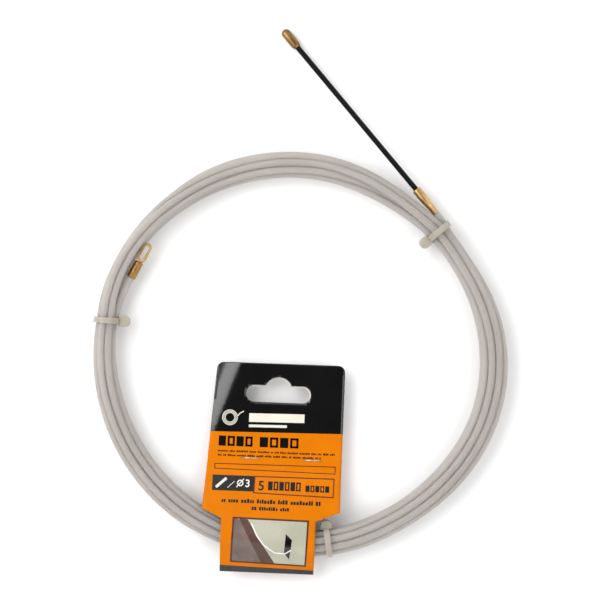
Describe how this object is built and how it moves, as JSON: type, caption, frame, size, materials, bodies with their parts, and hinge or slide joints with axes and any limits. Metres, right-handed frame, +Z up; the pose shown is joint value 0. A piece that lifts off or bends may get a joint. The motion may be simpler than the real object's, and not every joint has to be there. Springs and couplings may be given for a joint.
{
  "type": "fish tape coil",
  "caption": "Nylon fish tape wound in a flat coil, bound with cable ties, with a sprung leader and brass tip, a slotted brass eyelet and a folded hang card.",
  "frame": {"origin": "middle of the whole object's footprint, on the table it lies on", "axes": "+Z up out of the table and the coil's flat side, +Y from the card towards the leader's tip, +X to the right seen from above"},
  "size_m": [0.1729, 0.228, 0.0146],
  "materials": {
    "tape_nylon": "translucent natural nylon, smooth",
    "tie_nylon": "natural moulded nylon",
    "brass": "turned",
    "leader_black": "black close-wound wire, semi-gloss",
    "core_steel": "stranded wire",
    "card_print": "printed and laminated, glossy",
    "staple_steel": "zinc-plated wire"
  },
  "bodies": {
    "coil": {"tape_coil": "tape_nylon", "tape_leader_run": "tape_nylon", "tape_eyelet_run": "tape_nylon", "tape_eyelet": "brass", "leader_ferrule": "brass", "leader_spring_1": "leader_black", "leader_core_1": "core_steel", "tie_left": "tie_nylon", "tie_right": "tie_nylon", "tie_bottom": "tie_nylon"},
    "leader_link_1": {"leader_spring_2": "leader_black", "leader_core_2": "core_steel"},
    "leader_link_2": {"leader_spring_3": "leader_black", "leader_core_3": "core_steel"},
    "leader_link_3": {"leader_spring_4": "leader_black", "leader_core_4": "core_steel"},
    "leader_link_4": {"leader_spring_5": "leader_black", "leader_core_5": "core_steel", "leader_tip": "brass"},
    "card": {"hang_card": "card_print", "staple_left": "staple_steel", "staple_right": "staple_steel"}
  },
  "joints": [
    {"name": "leader_bend_1", "type": "hinge", "parent": "coil", "child": "leader_link_1", "pos_m": [0.04188, 0.05402, 0.00562], "axis": [0, 0, 1], "range_deg": [-35, 15], "stiffness_Nm_per_rad": 0.02},
    {"name": "leader_bend_2", "type": "hinge", "parent": "leader_link_1", "child": "leader_link_2", "pos_m": [0.02954, 0.06893, 0.00471], "axis": [0, 0, 1], "range_deg": [-35, 15], "stiffness_Nm_per_rad": 0.02},
    {"name": "leader_bend_3", "type": "hinge", "parent": "leader_link_2", "child": "leader_link_3", "pos_m": [0.0172, 0.08384, 0.0038], "axis": [0, 0, 1], "range_deg": [-35, 15], "stiffness_Nm_per_rad": 0.02},
    {"name": "leader_bend_4", "type": "hinge", "parent": "leader_link_3", "child": "leader_link_4", "pos_m": [0.00487, 0.09875, 0.00288], "axis": [0, 0, 1], "range_deg": [-35, 15], "stiffness_Nm_per_rad": 0.02},
    {"name": "card_swing", "type": "hinge", "parent": "coil", "child": "card", "pos_m": [-0.01296, -0.09934, 0.00725], "axis": [0.9905, -0.1374, 0], "range_deg": [-90, 180]}
  ]
}
